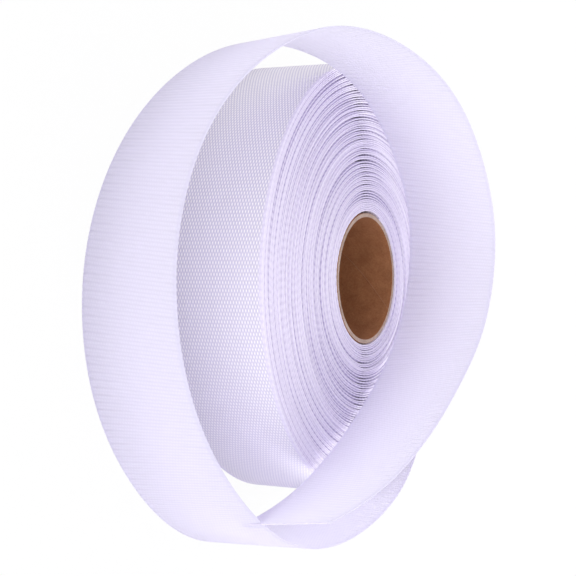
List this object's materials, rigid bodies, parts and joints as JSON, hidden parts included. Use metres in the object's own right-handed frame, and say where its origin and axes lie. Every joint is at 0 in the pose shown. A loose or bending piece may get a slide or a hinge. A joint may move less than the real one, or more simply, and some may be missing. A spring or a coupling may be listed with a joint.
{
  "type": "roll of sewing boning",
  "caption": "Stiff woven sewing tape wound flat on a paper core, resting on its end face, with its free end standing in a wide loop that climbs over the roll.",
  "frame": {"origin": "on the surface that the roll rests on, under the middle of the whole part's box", "axes": "+Z along the roll's axis, up from the end face that it rests on; +Y from the front of the loose loop towards the back of the roll"},
  "size_m": [0.1124, 0.1362, 0.0526],
  "materials": {
    "woven_tape": "matt ribbed weave, white with a faint lavender tint",
    "core_paper": "matt brown kraft paper with a paler cut edge"
  },
  "bodies": {
    "root": {"core": "core_paper", "wound_roll": "woven_tape", "loose_end": "woven_tape"}
  },
  "joints": []
}
